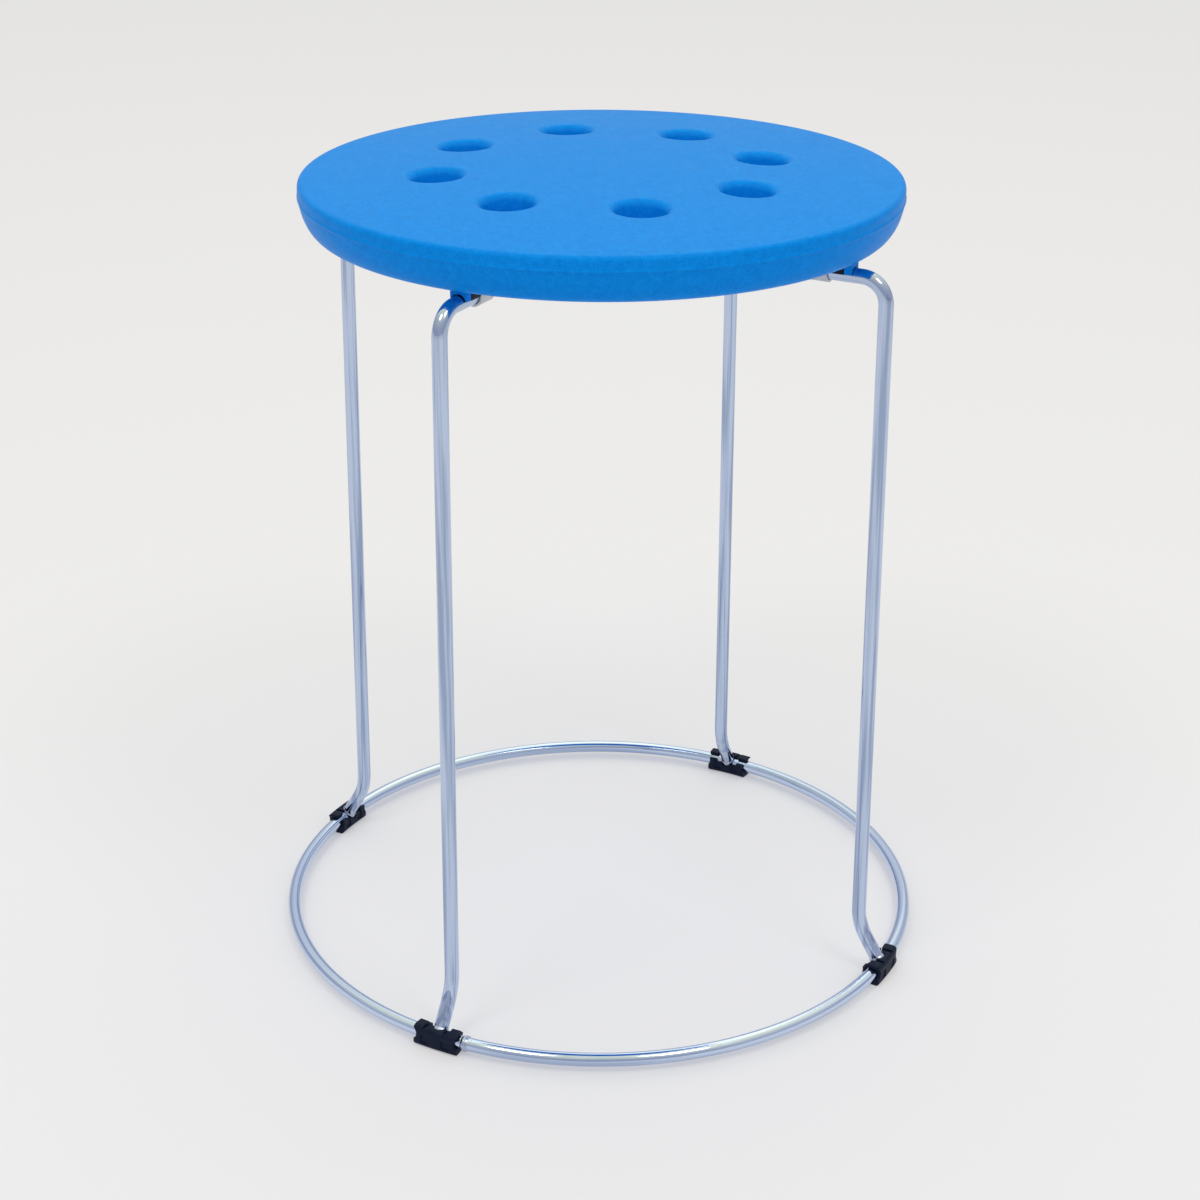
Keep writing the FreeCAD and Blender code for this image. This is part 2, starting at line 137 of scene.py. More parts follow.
class NodeGraph:
    """Builds nodes in one tree, for shaders and for geometry."""

    def __init__(self, tree: bpy.types.NodeTree) -> None:
        """Keep the tree that the nodes go to."""
        self.tree = tree

    def node(
        self,
        kind: str,
        settings: Optional[dict[str, Any]] = None,
        inputs: Optional[dict[Union[str, int], Source]] = None,
    ) -> bpy.types.Node:
        """Make one node.

        Args:
            kind: Blender's name for the node type.
            settings: Properties of the node, set before its sockets.
            inputs: Value or link for each socket, by name or number.

        Returns:
            The new node.
        """
        made = self.tree.nodes.new(kind)
        for name, value in (settings or {}).items():
            setattr(made, name, value)
        for name, value in (inputs or {}).items():
            socket = made.inputs[name]
            if isinstance(value, Signal):
                self.tree.links.new(value.socket, socket)
            elif isinstance(value, bpy.types.NodeSocket):
                self.tree.links.new(value, socket)
            else:
                socket.default_value = value
        return made

    def signal(
        self,
        kind: str,
        settings: Optional[dict[str, Any]] = None,
        inputs: Optional[dict[Union[str, int], Source]] = None,
        output: Union[str, int] = 0,
    ) -> "Signal":
        """Make one node and wrap one of its outputs, for use in arithmetic."""
        return Signal(self, self.node(kind, settings, inputs).outputs[output])

    def blend(self, factor: "Signal", first: tuple, second: tuple) -> "Signal":
        """Mix two colours.

        Args:
            factor: 0 for the first colour and 1 for the second.
            first: First colour.
            second: Second colour.

        Returns:
            The mixed colour.
        """
        settings = {"data_type": "RGBA"}
        inputs = {"Factor": factor, 6: (*first, 1.0), 7: (*second, 1.0)}
        return self.signal("ShaderNodeMix", settings, inputs, 2)


@dataclass(frozen=True)
class Signal:
    """A node's output that can be written in arithmetic."""

    graph: NodeGraph
    socket: bpy.types.NodeSocket

    def _math(self, operation: str, *values: Value) -> "Signal":
        """Join values with a Math node, or this value alone if none are given."""
        inputs = dict(enumerate(values or (self,)))
        return self.graph.signal("ShaderNodeMath", {"operation": operation}, inputs)

    def __add__(self, other: Value) -> "Signal":
        """Sum."""
        return self._math("ADD", self, other)

    __radd__ = __add__

    def __mul__(self, other: Value) -> "Signal":
        """Product."""
        return self._math("MULTIPLY", self, other)

    __rmul__ = __mul__

    def __sub__(self, other: Value) -> "Signal":
        """Difference."""
        return self._math("SUBTRACT", self, other)

    def __rsub__(self, other: Value) -> "Signal":
        """Difference taken from a number."""
        return self._math("SUBTRACT", other, self)

    def __floordiv__(self, other: Value) -> "Signal":
        """Quotient rounded down."""
        return self._math("DIVIDE", self, other)._math("FLOOR")

    def __mod__(self, other: Value) -> "Signal":
        """Remainder."""
        return self._math("MODULO", self, other)

    def root(self) -> "Signal":
        """Square root."""
        return self._math("SQRT")

    def ramped(self, low: float, high: float) -> "Signal":
        """Smooth step from 0 at one value to 1 at another.

        Args:
            low: Value that gives 0.
            high: Value that gives 1.

        Returns:
            The step.
        """
        settings = {"interpolation_type": "SMOOTHSTEP"}
        return self.graph.signal(
            "ShaderNodeMapRange", settings, {"Value": self, "From Min": low, "From Max": high}
        )


class ShaderGraph(NodeGraph):
    """Node tree of one material, with the patterns that the finishes share."""

    def __init__(self, material: bpy.types.Material) -> None:
        """Empty the material's tree and read where on the piece a point lies."""
        material.use_nodes = True
        super().__init__(material.node_tree)
        self.tree.nodes.clear()
        self.place = self.node("ShaderNodeTexCoord").outputs["Object"]

    def stretched(
        self, scale: tuple[float, float, float], place: bpy.types.NodeSocket
    ) -> bpy.types.NodeSocket:
        """Coordinates scaled differently along each axis."""
        return self.node("ShaderNodeMapping", None, {"Vector": place, "Scale": scale}).outputs[0]

    def height(self) -> Signal:
        """Height of a point over the floor."""
        return self.signal("ShaderNodeSeparateXYZ", None, {0: self.place}, 2)

    def lathed(self) -> bpy.types.NodeSocket:
        """Coordinates that stay the same round the Z axis: radius, height, and a little of X.

        Returns:
            The coordinates.
        """
        parts = self.node("ShaderNodeSeparateXYZ", None, {0: self.place}).outputs
        x, y, z = (Signal(self, part) for part in parts)
        inputs = {"X": (x * x + y * y).root(), "Y": z, "Z": x}
        return self.node("ShaderNodeCombineXYZ", None, inputs).outputs[0]

    def noise(
        self, size: float, detail: float = 2.0, place: Optional[bpy.types.NodeSocket] = None
    ) -> Signal:
        """Cloudy pattern whose lumps are about one size across, in metres.

        Args:
            size: Size of a lump.
            detail: Number of finer layers.
            place: Coordinates to read, or the object's own.

        Returns:
            The pattern, from 0 to 1.
        """
        return self.signal(
            "ShaderNodeTexNoise",
            None,
            {"Vector": place or self.place, "Scale": 1 / size, "Detail": detail},
        )

    def bump(self, height: Signal, depth: float, under: Optional[Signal] = None) -> Signal:
        """Normals bent by a height pattern, over those of an earlier pattern if there is one.

        Args:
            height: The pattern.
            depth: Depth that the pattern spans, in metres.
            under: Normals that it starts from.

        Returns:
            The bent normals.
        """
        inputs = {"Height": height, "Distance": depth}
        if under is not None:
            inputs["Normal"] = under
        return self.signal("ShaderNodeBump", None, inputs)

    def finish(self, inputs: dict[Union[str, int], Source]) -> None:
        """Close the tree with one surface shader."""
        shader = self.node("ShaderNodeBsdfPrincipled", None, inputs)
        output = self.node("ShaderNodeOutputMaterial")
        self.tree.links.new(shader.outputs[0], output.inputs["Surface"])


class Finish:
    """One material of the stool."""

    name: str

    def material(self) -> bpy.types.Material:
        """Build the material.

        Returns:
            The material.
        """
        made = bpy.data.materials.new(self.name)
        self.paint(ShaderGraph(made))
        return made

    def paint(self, graph: ShaderGraph) -> None:
        """Lay out the material's nodes."""
        raise NotImplementedError


@dataclass(frozen=True)
class MouldedSeatFinish(Finish):
    """Satin blue polypropylene with the fine cast grain of a blasted mould."""

    name: str = "satin_blue_polypropylene"
    colour: tuple = (0.0004, 0.206, 0.69)
    mottled: tuple = (0.0020, 0.256, 0.80)
    mottled_band: tuple = (0.35, 0.65)
    reflection: float = 0.04
    roughness: float = 0.33
    roughness_spread: float = 0.10
    grain_size: float = 0.9 * MM
    grain_share: float = 0.6
    ripple_size: float = 3.6 * MM
    cloud_size: float = 16 * MM
    grain_depth: float = 0.035 * MM

    def paint(self, graph: ShaderGraph) -> None:
        """Lay out the material's nodes.

        Args:
            graph: Tree of the material.
        """
        grain = graph.noise(self.grain_size, detail=3.0)
        clouds = graph.noise(self.cloud_size)
        ripple = graph.noise(self.ripple_size)
        height = grain * self.grain_share + ripple * (1 - self.grain_share)
        mottling = height.ramped(*self.mottled_band)
        graph.finish({
            "Base Color": graph.blend(mottling, self.colour, self.mottled),
            "Roughness": self.roughness + self.roughness_spread * clouds,
            "Specular IOR Level": self.reflection,
            "Normal": graph.bump(height, self.grain_depth),
        })


@dataclass(frozen=True)
class ChromeFinish(Finish):
    """Bright nickel-chrome on drawn rod: darker streaks along the rod, a little haze and soft waves.

    The darker streaks are partly drawing marks and partly painted reflection: they stand in for the dark
    line that the studio reflects along one edge of each rod. They run up the legs and end where the rods
    turn level.
    On the ring they run round the Z axis.
    """

    name: str = "bright_chrome_leg"
    ring_wise: bool = False
    colour: tuple = (0.52, 0.61, 0.79)
    streak_and_dark_reflection: tuple = (0.32, 0.40, 0.57)
    streak_and_reflection_band: tuple = (0.60, 0.36)
    roughness: float = 0.08
    haze: float = 0.12
    haze_band: tuple = (0.45, 0.75)
    haze_size: float = 27 * MM
    mark_size: float = 2.6 * MM
    mark_length: float = 120 * MM
    mark_depth: float = 0.012 * MM
    mark_middle: float = 0.5
    streak_top: float = 405 * MM
    streak_fade: float = 8 * MM
    wave_size: float = 9 * MM
    wave_depth: float = 0.05 * MM

    def paint(self, graph: ShaderGraph) -> None:
        """Lay out the material's nodes.

        Args:
            graph: Tree of the material.
        """
        along, across = 1 / self.mark_length, 1 / self.mark_size
        place = graph.lathed() if self.ring_wise else graph.place
        streak_and_reflection_noise = graph.noise(1.0, place=graph.stretched((across, across, along), place))
        upright = graph.height().ramped(self.streak_top, self.streak_top - self.streak_fade)
        marks_and_dark_reflection = (streak_and_reflection_noise - self.mark_middle) * upright + self.mark_middle
        waves = graph.noise(self.wave_size, detail=1.0)
        clouds = graph.noise(self.haze_size)
        wavy = graph.bump(waves, self.wave_depth)
        graph.finish({
            # Painted reflection: the darker streak colour stands in, in part, for a dark reflection
            # along the rods.
            "Base Color": graph.blend(marks_and_dark_reflection.ramped(*self.streak_and_reflection_band), self.colour, self.streak_and_dark_reflection),
            "Metallic": 1.0,
            "Roughness": self.roughness + self.haze * clouds.ramped(*self.haze_band),
            "Normal": graph.bump(marks_and_dark_reflection, self.mark_depth, wavy),
        })


@dataclass(frozen=True)
class WeldFinish(Finish):
    """Plated weld metal: lumpy, a little duller than the rod."""

    name: str = "plated_weld_metal"
    colour: tuple = (0.44, 0.49, 0.64)
    roughness: float = 0.22
    roughness_spread: float = 0.15
    lump_size: float = 1.4 * MM
    lump_depth: float = 0.12 * MM

    def paint(self, graph: ShaderGraph) -> None:
        """Lay out the material's nodes.

        Args:
            graph: Tree of the material.
        """
        lumps = graph.noise(self.lump_size)
        graph.finish({
            "Base Color": (*self.colour, 1.0),
            "Metallic": 1.0,
            "Roughness": self.roughness + self.roughness_spread * lumps,
            "Normal": graph.bump(lumps, self.lump_depth),
        })


@dataclass(frozen=True)
class BlackPlasticFinish(Finish):
    """Black moulded plastic with a low sheen and rubbed, slightly greyer high spots."""

    name: str = "black_moulded_plastic"
    colour: tuple = (0.0040, 0.0088, 0.0280)
    rubbed: tuple = (0.0090, 0.0150, 0.0380)
    rubbed_band: tuple = (0.5, 0.75)
    rubbed_size: float = 6 * MM
    reflection: float = 0.12
    roughness: float = 0.42
    roughness_spread: float = 0.18
    grain_size: float = 0.5 * MM
    grain_depth: float = 0.02 * MM

    def paint(self, graph: ShaderGraph) -> None:
        """Lay out the material's nodes.

        Args:
            graph: Tree of the material.
        """
        grain = graph.noise(self.grain_size)
        wear = graph.noise(self.rubbed_size, detail=3.0)
        graph.finish({
            "Base Color": graph.blend(wear.ramped(*self.rubbed_band), self.colour, self.rubbed),
            "Roughness": self.roughness + self.roughness_spread * wear,
            "Specular IOR Level": self.reflection,
            "Normal": graph.bump(grain, self.grain_depth),
        })


@dataclass(frozen=True)
class ZincFinish(Finish):
    """Bright zinc plating: pale grey, softly clouded, with a faint cold tint."""

    name: str = "bright_zinc_plate"
    colour: tuple = (0.50, 0.52, 0.55)
    cold: tuple = (0.44, 0.48, 0.55)
    cold_band: tuple = (0.4, 0.65)
    cloud_size: float = 5 * MM
    roughness: float = 0.30
    roughness_spread: float = 0.12
    grain_size: float = 0.6 * MM
    grain_depth: float = 0.01 * MM

    def paint(self, graph: ShaderGraph) -> None:
        """Lay out the material's nodes.

        Args:
            graph: Tree of the material.
        """
        clouds = graph.noise(self.cloud_size, detail=3.0)
        grain = graph.noise(self.grain_size)
        graph.finish({
            "Base Color": graph.blend(clouds.ramped(*self.cold_band), self.colour, self.cold),
            "Metallic": 1.0,
            "Roughness": self.roughness + self.roughness_spread * clouds,
            "Normal": graph.bump(grain, self.grain_depth),
        })


@dataclass
class Shell:
    """Corners and faces of a mesh while it is put together."""

    points: list[Vector] = field(default_factory=list)
    faces: list[list[int]] = field(default_factory=list)

    def add_loops(self, loops: Sequence[Sequence[Vector]]) -> tuple[int, int]:
        """Add closed loops of corners, with quads from each loop to the next.

        Args:
            loops: The loops, which have as many corners each.

        Returns:
            The numbers of the first corner of the first loop and of the last one.
        """
        count = len(loops[0])
        starts = [len(self.points) + count * i for i in range(len(loops))]
        for loop in loops:
            self.points.extend(loop)
        for first, second in zip(starts, starts[1:]):
            for c in range(count):
                after = (c + 1) % count
                self.faces.append([first + c, first + after, second + after, second + c])
        return starts[0], starts[-1]

    def close_flat(self, start: int, count: int) -> None:
        """Close the loop that starts at a corner with one face."""
        self.faces.append(list(range(start, start + count)))

    def close_to(self, tip: Vector, start: int, count: int) -> None:
        """Close the loop that starts at a corner with triangles to a new corner, the tip.

        Args:
            tip: The new corner.
            start: Number of the loop's first corner.
            count: Corners in the loop.
        """
        self.points.append(tip)
        last = len(self.points) - 1
        self.faces.extend([start + c, start + (c + 1) % count, last] for c in range(count))

    def join(self, other: "Shell") -> None:
        """Add all of another shell."""
        start = len(self.points)
        self.points.extend(other.points)
        self.faces.extend([start + i for i in face] for face in other.faces)

    def mesh(self, name: str) -> bpy.types.Mesh:
        """Smooth mesh of the shell, with its faces turned outwards.

        Args:
            name: Name of the mesh.

        Returns:
            The mesh.
        """
        mesh = bpy.data.meshes.new(name)
        mesh.from_pydata(self.points, [], self.faces)
        work = bmesh.new()
        work.from_mesh(mesh)
        bmesh.ops.remove_doubles(work, verts=work.verts, dist=SAME_POINT)
        bmesh.ops.recalc_face_normals(work, faces=work.faces)
        work.to_mesh(mesh)
        work.free()
        mesh.shade_smooth()
        return mesh


def new_piece(
    name: str, mesh: bpy.types.Mesh, material: bpy.types.Material, slot: Slot, nodes: Sequence[str]
) -> bpy.types.Object:
    """Put a finished mesh in the scene in place of the frame's nodes.

    Args:
        name: Name of the piece.
        mesh: Its mesh, already in place.
        material: Its finish.
        slot: Not used.
        nodes: The frame's nodes that it stands for.

    Returns:
        The piece.
    """
    piece = in_scene(name, mesh)
    if not mesh.materials:
        mesh.materials.append(material)
    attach(piece, BODY)
    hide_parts(*nodes)
    log.info("%-26s %6d faces, stands for %s", name, len(mesh.polygons), ", ".join(nodes))
    return piece


def baked(piece: bpy.types.Object) -> bpy.types.Mesh:
    """Plain mesh of a piece with its modifiers worked out; the piece itself is removed.

    Args:
        piece: Object whose modifiers make its shape.

    Returns:
        The mesh.
    """
    graph = bpy.context.evaluated_depsgraph_get()
    mesh = bpy.data.meshes.new_from_object(
        piece.evaluated_get(graph), preserve_all_data_layers=True, depsgraph=graph
    )
    mesh.name = piece.name
    piece.modifiers.clear()
    bpy.data.objects.remove(piece)
    return mesh


class GeometryTree(NodeGraph):
    """Geometry Nodes tree with named inputs, run once on a start mesh."""

    def __init__(self, name: str, sizes: dict[str, Union[float, int]]) -> None:
        """Open a tree.

        Args:
            name: Name of the tree.
            sizes: Its named inputs, with the value of each.
        """
        super().__init__(bpy.data.node_groups.new(name, "GeometryNodeTree"))
        face = self.tree.interface
        face.new_socket("Geometry", in_out="INPUT", socket_type="NodeSocketGeometry")
        face.new_socket("Geometry", in_out="OUTPUT", socket_type="NodeSocketGeometry")
        self.values: dict[str, Any] = {}
        for title, value in sizes.items():
            kind = "NodeSocketInt" if isinstance(value, int) else "NodeSocketFloat"
            socket = face.new_socket(title, in_out="INPUT", socket_type=kind)
            self.values[socket.identifier] = value
        socket = face.new_socket("Finish", in_out="INPUT", socket_type="NodeSocketMaterial")
        self.finish_key = socket.identifier
        self.given = self.node("NodeGroupInput")

    def size(self, title: str) -> bpy.types.NodeSocket:
        """One of the named inputs."""
        return self.given.outputs[title]

    def wrapped(self, title: str) -> Signal:
        """One of the named inputs, for use in arithmetic."""
        return Signal(self, self.size(title))

    def rod(self, path: bpy.types.NodeSocket, caps: bool) -> bpy.types.NodeSocket:
        """Round rod along a path, from the named inputs Sides and Rod Radius.

        Args:
            path: The path.
            caps: Whether its ends are closed.

        Returns:
            The rod.
        """
        outline = self.circle("Sides", "Rod Radius")
        inputs = {"Curve": path, "Profile Curve": outline, "Fill Caps": caps}
        return self.node("GeometryNodeCurveToMesh", None, inputs).outputs[0]

    def circle(self, steps: str, radius: str) -> bpy.types.NodeSocket:
        """Circle about Z, from the named inputs for its steps and its radius."""
        inputs = {"Resolution": self.size(steps), "Radius": self.size(radius)}
        return self.node("GeometryNodeCurvePrimitiveCircle", {"mode": "RADIUS"}, inputs).outputs[0]

    def close(self, geometry: bpy.types.NodeSocket) -> None:
        """End the tree: smooth, realised and with its finish.

        Args:
            geometry: What the tree has made.
        """
        smooth = self.node("GeometryNodeSetShadeSmooth", None, {"Geometry": geometry})
        real = self.node("GeometryNodeRealizeInstances", None, {0: smooth.outputs[0]})
        inputs = {"Geometry": real.outputs[0], "Material": self.size("Finish")}
        dressed = self.node("GeometryNodeSetMaterial", None, inputs)
        self.node("NodeGroupOutput", None, {0: dressed.outputs[0]})

    def run(self, start: bpy.types.Mesh, material: bpy.types.Material) -> bpy.types.Mesh:
        """Work the tree out on a start mesh.

        Args:
            start: Mesh that the tree reads.
            material: Finish of the result.

        Returns:
            The finished plain mesh.
        """
        piece = in_scene(self.tree.name, start)
        modifier = piece.modifiers.new("shape", "NODES")
        modifier.node_group = self.tree
        for key, value in self.values.items():
            modifier[key] = value
        modifier[self.finish_key] = material
        return baked(piece)


@dataclass
class MouldedSeat:
    """Hollow moulded seat: domed top with dimples, parting bead, drawn-in side and moulded feet."""

    finish: MouldedSeatFinish
    top: float = cad_high.z
    radius: float = 161.7 * MM
    bead_radius: float = 162.0 * MM
    bead_width: float = 1.2 * MM
    underside_radius: float = 154.0 * MM
    crown: float = 6.7 * MM
    rim_depth: float = 25.0 * MM
    side_bulge: float = 1.3 * MM
    rim_rounding: float = 3.2 * MM
    underside_rounding: float = 4.0 * MM
    parting_drop: float = 7.3 * MM
    dimples: int = 8
    dimple_circle: float = 89.0 * MM
    first_dimple: float = math.radians(-93.9)
    dimple_floor_radius: float = 10.0 * MM
    dimple_mouth_radius: float = 13.6 * MM
    dimple_floor_wall: float = 5.0 * MM
    lip_rounding: float = 4.8 * MM
    floor_rounding: float = 2.5 * MM
    cell_inner: float = 56.0 * MM
    cell_outer: float = 122.0 * MM
    columns: int = 32
    foot_near: float = 112.4 * MM
    foot_far: float = 141.8 * MM
    foot_half: float = 15.5 * MM
    foot_rounding: float = 4.0 * MM
    foot_edge: float = 1.0 * MM
    foot_over_rod: float = 5.5 * MM
    foot_root: float = 1.5 * MM
    nose_near: float = 143.6 * MM
    nose_far: float = 147.6 * MM
    nose_half: float = 5.0 * MM
    nose_low: float = 1.2 * MM
    nose_bore: float = 4.15 * MM
    sharp_angle: float = math.radians(35)
    bead_gap: float = 0.2 * MM
    rim_steps: int = 10
    upright_steps: int = 2
    bead_steps: int = 6
    side_steps: int = 14
    low_edge_steps: int = 8
    band_steps: int = 8
    lip_passes: int = 3
    lip_steps: int = 12
    wall_steps: int = 5
    floor_edge_steps: int = 7
    foot_edge_steps: int = 5
    bore_steps: int = 16
    disc_shares: tuple = (1.0, 0.85, 0.7, 0.55, 0.4, 0.25, 0.1)
    underside_shares: tuple = (0.9, 0.7, 0.45, 0.2, 0.05)
    cell_shares: tuple = (0.0, 0.16, 0.32, 0.48, 0.62, 0.75, 0.86, 0.94)
    floor_shares: tuple = (0.66, 0.33)

    def build(self) -> None:
        """Make the seat and its feet."""
        material = self.finish.material()
        body = self.top_shell()
        body.join(self.side_shell())
        new_piece("seat_body", body.mesh("seat_body"), material, Slot.SEAT, ["seat_shell"])
        feet = self.feet_shell().mesh("seat_feet")
        feet.set_sharp_from_angle(angle=self.sharp_angle)
        new_piece("seat_feet", feet, material, Slot.SEAT, ["seat_shell"])

    @property
    def rim_z(self) -> float:
        """Height of the line where the top meets the side."""
        return self.top - self.crown

    @property
    def underside_z(self) -> float:
        """Height of the flat underside."""
        return self.rim_z - self.rim_depth

    @property
    def floor_z(self) -> float:
        """Height of the dimples' floors."""
        return self.underside_z + self.dimple_floor_wall

    @property
    def count(self) -> int:
        """Number of the upright lines that the seat is divided by."""
        return self.columns * self.dimples

    def dome(self, x: float, y: float) -> float:
        """Height of the top over a point."""
        return self.top - self.crown * (x * x + y * y) / self.radius**2

    def heading(self, column: int) -> float:
        """Heading of one of the upright lines."""
        half_cell = math.pi / self.dimples
        return self.first_dimple - half_cell + column * math.tau / self.count

    def circle(self, radius: float, height: float) -> list[Vector]:
        """Level circle with a corner on each upright line."""
        return [polar(radius, self.heading(c), height) for c in range(self.count)]

    def profile(self) -> list[Vector]:
        """Half outline from the edge of the dome to the middle of the underside, radius as x.

        Returns:
            The corners of the outline.
        """
        dome_end_radius = self.radius - self.rim_rounding
        dome_end = Vector((dome_end_radius, 0, self.dome(dome_end_radius, 0)))
        fall = 2 * self.crown * dome_end_radius / self.radius**2
        rim = Vector((self.radius, 0, dome_end.z - fall * self.rim_rounding))
        rim_end = rim - Vector((0, 0, self.rim_rounding))
        parting = self.rim_z - self.parting_drop
        bead_top = Vector((self.radius, 0, parting + self.bead_width / 2))
        bead_low = Vector((self.radius, 0, parting - self.bead_width / 2))
        crest = Vector((2 * self.bead_radius - self.radius, 0, parting))
        widest = Vector((self.radius, 0, parting))
        low = Vector((self.underside_radius, 0, self.underside_z))
        run = low - widest
        outward = Vector((-run.z, 0, run.x)).normalized()
        bulge = (widest + low) / 2 + outward * 2 * self.side_bulge
        side_end = low + (bulge - low).normalized() * self.underside_rounding
        flat = low - Vector((self.underside_rounding, 0, 0))
        points = parabola(dome_end, rim, rim_end, self.rim_steps)
        points += [rim_end.lerp(bead_top, t) for t in stepped(0, 1, self.upright_steps)[1:]]
        points += parabola(bead_top, crest, bead_low, self.bead_steps)[1:]
        side = parabola(widest, bulge, side_end, self.side_steps)
        points += [p for p in side if p.z < bead_low.z - self.bead_gap]
        points += parabola(side_end, low, flat, self.low_edge_steps)[1:]
        points += [flat * t + Vector((0, 0, low.z * (1 - t))) for t in self.underside_shares]
        return points

    def side_shell(self) -> Shell:
        """Lathed side and underside.

        Returns:
            The side and the underside, open at the edge of the dome.
        """
        shell = Shell()
        _, last = shell.add_loops([self.circle(p.x, p.z) for p in self.profile()])
        shell.close_to(Vector((0, 0, self.underside_z)), last, self.count)
        return shell

    def top_shell(self) -> Shell:
        """Dome with its dimples: a disc, an outer band, and between them a cell round each dimple.

        Returns:
            The top, open at its edge.
        """
        shell = Shell()
        disc = [self.cell_inner * share for share in self.disc_shares]
        _, last = shell.add_loops([self.circle(r, self.dome(r, 0)) for r in disc])
        shell.close_to(Vector((0, 0, self.top)), last, self.count)
        band = stepped(self.cell_outer, self.radius - self.rim_rounding, self.band_steps)
        shell.add_loops([self.circle(r, self.dome(r, 0)) for r in band])
        for index in range(self.dimples):
            shell.join(self.cell(index))
        return shell

    def cell_border(self, index: int) -> list[Vector]:
        """Corners round the cell of one dimple, in the order of a turn to the left.

        Args:
            index: Number of the dimple.

        Returns:
            The corners, at height 0.
        """
        first = index * self.columns
        last = first + self.columns
        radii = stepped(self.cell_outer, self.cell_inner, self.columns)
        outer = [polar(self.cell_outer, self.heading(first + c), 0) for c in range(self.columns)]
        left = [polar(r, self.heading(last), 0) for r in radii[:-1]]
        inner = [polar(self.cell_inner, self.heading(last - c), 0) for c in range(self.columns)]
        right = [polar(r, self.heading(first), 0) for r in reversed(radii[1:])]
        return outer + left + inner + right

    def lip(self, middle: Vector, way: Vector) -> list[Vector]:
        """Section of a dimple's rounded lip, wall and floor in one direction from its middle.

        Args:
            middle: The dimple's middle, at any height.
            way: Level direction of the section, of length 1.

        Returns:
            Points from the dome inwards to near the middle of the floor.
        """
        mouth_z = self.top - self.crown / 2
        slope = (self.dimple_mouth_radius - self.dimple_floor_radius) / (mouth_z - self.floor_z)
        wall = Vector((slope, 1)).normalized()
        wall_side = Vector((wall.y, -wall.x))
        reach = self.dimple_mouth_radius + self.lip_rounding
        for _ in range(self.lip_passes):
            spot = middle + way * reach
            height = self.dome(spot.x, spot.y)
            fall = -2 * self.crown * (spot.x * way.x + spot.y * way.y) / self.radius**2
            down = Vector((fall, -1)).normalized()
            on_dome = Vector((reach, height)) + down * self.lip_rounding
            along = Vector((1, fall)).normalized()
            start = Vector((self.dimple_floor_radius, self.floor_z)) + wall_side * self.lip_rounding
            gap = (on_dome - start).dot(wall_side) / along.dot(wall_side)
            centre = on_dome - along * gap
            reach = (centre - down * self.lip_rounding).x
        first = (-down).angle_signed(-wall_side)
        turns = [first * t for t in stepped(0, 1, self.lip_steps)]
        section = [centre + turned_2d(-down, turn) * self.lip_rounding for turn in turns]
        foot_turn = (math.pi / 2 - math.atan(slope)) / 2
        foot_reach = self.floor_rounding * math.tan(foot_turn)
        corner = Vector((self.dimple_floor_radius, self.floor_z))
        wall_end = corner + wall * foot_reach
        floor_start = corner - Vector((foot_reach, 0))
        section += [section[-1].lerp(wall_end, t) for t in stepped(0, 1, self.wall_steps)[1:]]
        section += parabola(wall_end, corner, floor_start, self.floor_edge_steps)[1:]
        section += [Vector((floor_start.x * t, self.floor_z)) for t in self.floor_shares]
        return [middle.xy.to_3d() + way * p.x + Vector((0, 0, p.y)) for p in section]

    def cell(self, index: int) -> Shell:
        """Part of the dome round one dimple, with the dimple itself.

        Args:
            index: Number of the dimple.

        Returns:
            The cell.
        """
        middle = polar(self.dimple_circle, self.heading(index * self.columns + self.columns // 2), 0)
        sections = []
        for corner in self.cell_border(index):
            section = self.lip(middle, (corner - middle).normalized())
            spread = [corner.lerp(section[0], share) for share in self.cell_shares]
            sections.append([Vector((p.x, p.y, self.dome(p.x, p.y))) for p in spread] + section)
        shell = Shell()
        _, last = shell.add_loops(list(zip(*sections)))
        shell.close_to(Vector((middle.x, middle.y, self.floor_z)), last, len(sections))
        return shell

    def feet_shell(self) -> Shell:
        """The four moulded feet that lie over the rods, as blocks that grow out of the underside.

        Returns:
            The feet.
        """
        shell = Shell()
        for corner, drop in enumerate(CORNER_DROPS):
            turn = Matrix.Rotation(corner_angle(corner), 3, "Z")
            for loops in (self.foot_block(drop), self.foot_bridge(drop), self.foot_nose(drop)):
                first, last = shell.add_loops([[turn @ spot for spot in loop] for loop in loops])
                shell.close_flat(first, len(loops[0]))
                shell.close_flat(last, len(loops[0]))
        return shell

    def foot_block(self, drop: float) -> list[list[Vector]]:
        """Loops round the block of the foot at +X, from its root down to its flat bottom.

        Args:
            drop: How far the rod under the foot lies below the higher rod.

        Returns:
            The loops.
        """
        low = ROD_Z - drop + self.foot_over_rod
        levels = [(0.0, self.underside_z + self.foot_root)]
        levels += [(inset, low + left) for inset, left in self.eased_edge()]
        loops = []
        for inset, height in levels:
            near, far = self.foot_near + inset, self.foot_far - inset
            loop = rounded_rectangle(near, far, self.foot_half - inset, self.foot_rounding - inset)
            loops.append([Vector((x, y, height)) for x, y in loop])
        return loops

    def eased_edge(self) -> list[tuple[float, float]]:
        """Inset, and way left to the end face, at steps over the round edge of a foot's end.

        Returns:
            Pairs of inset and way left, from the side to the end face.
        """
        turns = stepped(0, math.pi / 2, self.foot_edge_steps)
        return [
            (self.foot_edge * (1 - math.cos(a)), self.foot_edge * (1 - math.sin(a))) for a in turns
        ]

    def foot_bridge(self, drop: float) -> list[list[Vector]]:
        """Loops round the narrow stretch between the block and the nose of the foot at +X.

        Args:
            drop: How far the rod under the foot lies below the higher rod.

        Returns:
            The loops.
        """
        near, far = self.foot_far - self.foot_edge, self.nose_near + self.foot_edge / 2
        loop = rounded_rectangle(near, far, self.nose_half, self.foot_edge / 4, steps=1)
        heights = (self.underside_z + self.foot_root, ROD_Z - drop + self.foot_over_rod)
        return [[Vector((x, y, height)) for x, y in loop] for height in heights]

